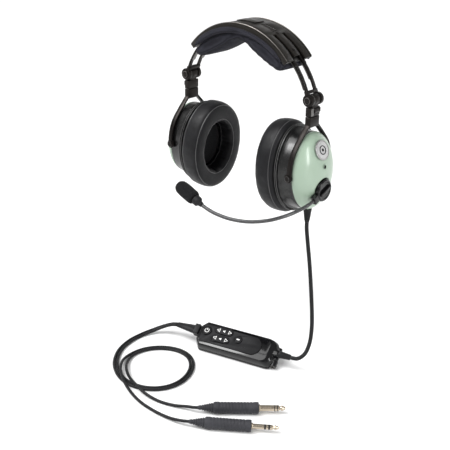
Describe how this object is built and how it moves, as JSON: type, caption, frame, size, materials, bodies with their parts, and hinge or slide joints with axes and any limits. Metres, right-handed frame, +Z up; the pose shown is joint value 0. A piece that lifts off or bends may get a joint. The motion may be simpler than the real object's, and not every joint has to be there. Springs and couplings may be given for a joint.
{
  "type": "aviation headset",
  "caption": "Over-ear aviation headset with folding headband, oval ear cups, boom microphone, inline control module and plugs.",
  "frame": {"origin": "centre of the wearer's head, midway between the two ear cup pivots", "axes": "+Z up, the wearer faces -Y, +X towards the wearer's left ear"},
  "size_m": [0.2821, 0.2521, 0.3771],
  "materials": {
    "dark_metal": "dark brown-black anodised, satin",
    "spring_steel": "satin",
    "crown_plastic": "satin moulded",
    "shell_plastic": "satin black",
    "sage_paint": "pale sage green, semi-gloss",
    "badge": "silver-grey satin disc",
    "leatherette": "soft black leatherette",
    "pad_fabric": "dark blue-grey fabric",
    "foam": "open-cell acoustic foam",
    "boom_sleeve": "satin dark grey sleeve",
    "rubber": "matt moulded rubber",
    "gloss_black": "glossy black",
    "key_rubber": "matt silicone with printed white symbols",
    "circuit_board": "green solder mask",
    "battery": "cell jacket",
    "nickel": "polished plating"
  },
  "bodies": {
    "hanger_left": {"left_hanger": "dark_metal", "left_hinge_pin": "dark_metal", "main_cord": "rubber", "phones_cord": "rubber", "mic_cord": "rubber", "phones_plug_handle": "rubber", "phones_plug_contact": "nickel", "mic_plug_handle": "rubber", "mic_plug_contact": "nickel", "module_housing": "gloss_black", "module_keypad": "key_rubber", "circuit_board": "circuit_board", "near_battery": "battery", "far_battery": "battery", "module_main_boot": "rubber", "module_twin_boot": "rubber", "door_pin": "spring_steel"},
    "crown": {"crown_cover": "crown_plastic", "crown_cap": "crown_plastic", "spring_band": "spring_steel", "left_crown_rivet": "spring_steel", "right_crown_rivet": "spring_steel", "head_pad": "pad_fabric"},
    "hanger_right": {"right_hanger": "dark_metal", "right_hinge_pin": "dark_metal"},
    "link_left": {"left_link": "dark_metal"},
    "link_right": {"right_link": "dark_metal"},
    "yoke_left": {"left_yoke": "dark_metal", "left_front_pivot_screw": "dark_metal", "left_rear_pivot_screw": "dark_metal"},
    "yoke_right": {"right_yoke": "dark_metal", "right_front_pivot_screw": "dark_metal", "right_rear_pivot_screw": "dark_metal"},
    "cup_left": {"left_cup_shell": "shell_plastic", "left_seal_plate": "shell_plastic", "left_dome": "sage_paint", "left_ear_seal": "leatherette", "left_baffle": "shell_plastic", "left_driver": "dark_metal", "left_ear_foam": "foam", "left_badge": "badge", "strain_relief": "rubber"},
    "cup_right": {"right_cup_shell": "shell_plastic", "right_seal_plate": "shell_plastic", "right_dome": "sage_paint", "right_ear_seal": "leatherette", "right_baffle": "shell_plastic", "right_driver": "dark_metal", "right_ear_foam": "foam", "right_badge": "badge"},
    "boom": {"boom_socket": "gloss_black", "boom_knob": "gloss_black", "boom_tube": "boom_sleeve", "mic_body": "rubber", "windscreen": "foam"},
    "battery_door": {"battery_door": "shell_plastic"},
    "power_key": {"power_key": "key_rubber"},
    "round_key": {"round_key": "key_rubber"},
    "earphone_rocker": {"earphone_volume_rocker": "key_rubber"},
    "phone_rocker": {"phone_volume_rocker": "key_rubber"}
  },
  "joints": [
    {"name": "left_height", "type": "hinge", "parent": "hanger_left", "child": "crown", "pos_m": [0, 0, 0.0539], "axis": [0, 1, 0], "range_deg": [-12, 0]},
    {"name": "right_height", "type": "hinge", "parent": "crown", "child": "hanger_right", "pos_m": [0, 0, 0.0539], "axis": [0, 1, 0], "range_deg": [-12, 0]},
    {"name": "left_fold", "type": "hinge", "parent": "hanger_left", "child": "link_left", "pos_m": [0.0888, 0, 0.0795], "axis": [0, 1, 0], "range_deg": [0, 22]},
    {"name": "right_fold", "type": "hinge", "parent": "hanger_right", "child": "link_right", "pos_m": [-0.0888, 0, 0.0795], "axis": [0, -1, 0], "range_deg": [0, 22]},
    {"name": "left_swivel", "type": "hinge", "parent": "link_left", "child": "yoke_left", "pos_m": [0.0888, 0, 0.0618], "axis": [0, 0, 1], "range_deg": [-12, 12]},
    {"name": "right_swivel", "type": "hinge", "parent": "link_right", "child": "yoke_right", "pos_m": [-0.0888, 0, 0.0618], "axis": [0, 0, -1], "range_deg": [-12, 12]},
    {"name": "left_tilt", "type": "hinge", "parent": "yoke_left", "child": "cup_left", "pos_m": [0.088, 0, 0], "axis": [0, -1, 0], "range_deg": [-8, 8]},
    {"name": "right_tilt", "type": "hinge", "parent": "yoke_right", "child": "cup_right", "pos_m": [-0.088, 0, 0], "axis": [0, 1, 0], "range_deg": [-8, 8]},
    {"name": "boom_pivot", "type": "hinge", "parent": "cup_left", "child": "boom", "pos_m": [0.109, 0, -0.018], "axis": [-1, 0, 0], "range_deg": [-35, 8]},
    {"name": "battery_door_hinge", "type": "hinge", "parent": "hanger_left", "child": "battery_door", "pos_m": [0.09407, -0.0517, -0.21401], "axis": [0.2168, -0.8384, -0.5], "range_deg": [0, 75]},
    {"name": "power_key_press", "type": "slide", "parent": "hanger_left", "child": "power_key", "axis": [-0.1252, 0.4841, -0.866], "range_m": [0, 0.0004], "stiffness_N_per_m": 400},
    {"name": "round_key_press", "type": "slide", "parent": "hanger_left", "child": "round_key", "axis": [-0.1252, 0.4841, -0.866], "range_m": [0, 0.0004], "stiffness_N_per_m": 400},
    {"name": "earphone_rocker_tilt", "type": "hinge", "parent": "hanger_left", "child": "earphone_rocker", "pos_m": [0.02788, -0.06814, -0.19994], "axis": [-0.2168, 0.8384, 0.5], "range_deg": [-2, 2], "stiffness_Nm_per_rad": 0.05},
    {"name": "phone_rocker_tilt", "type": "hinge", "parent": "hanger_left", "child": "phone_rocker", "pos_m": [0.02964, -0.07734, -0.20534], "axis": [-0.2168, 0.8384, 0.5], "range_deg": [-2, 2], "stiffness_Nm_per_rad": 0.05}
  ]
}
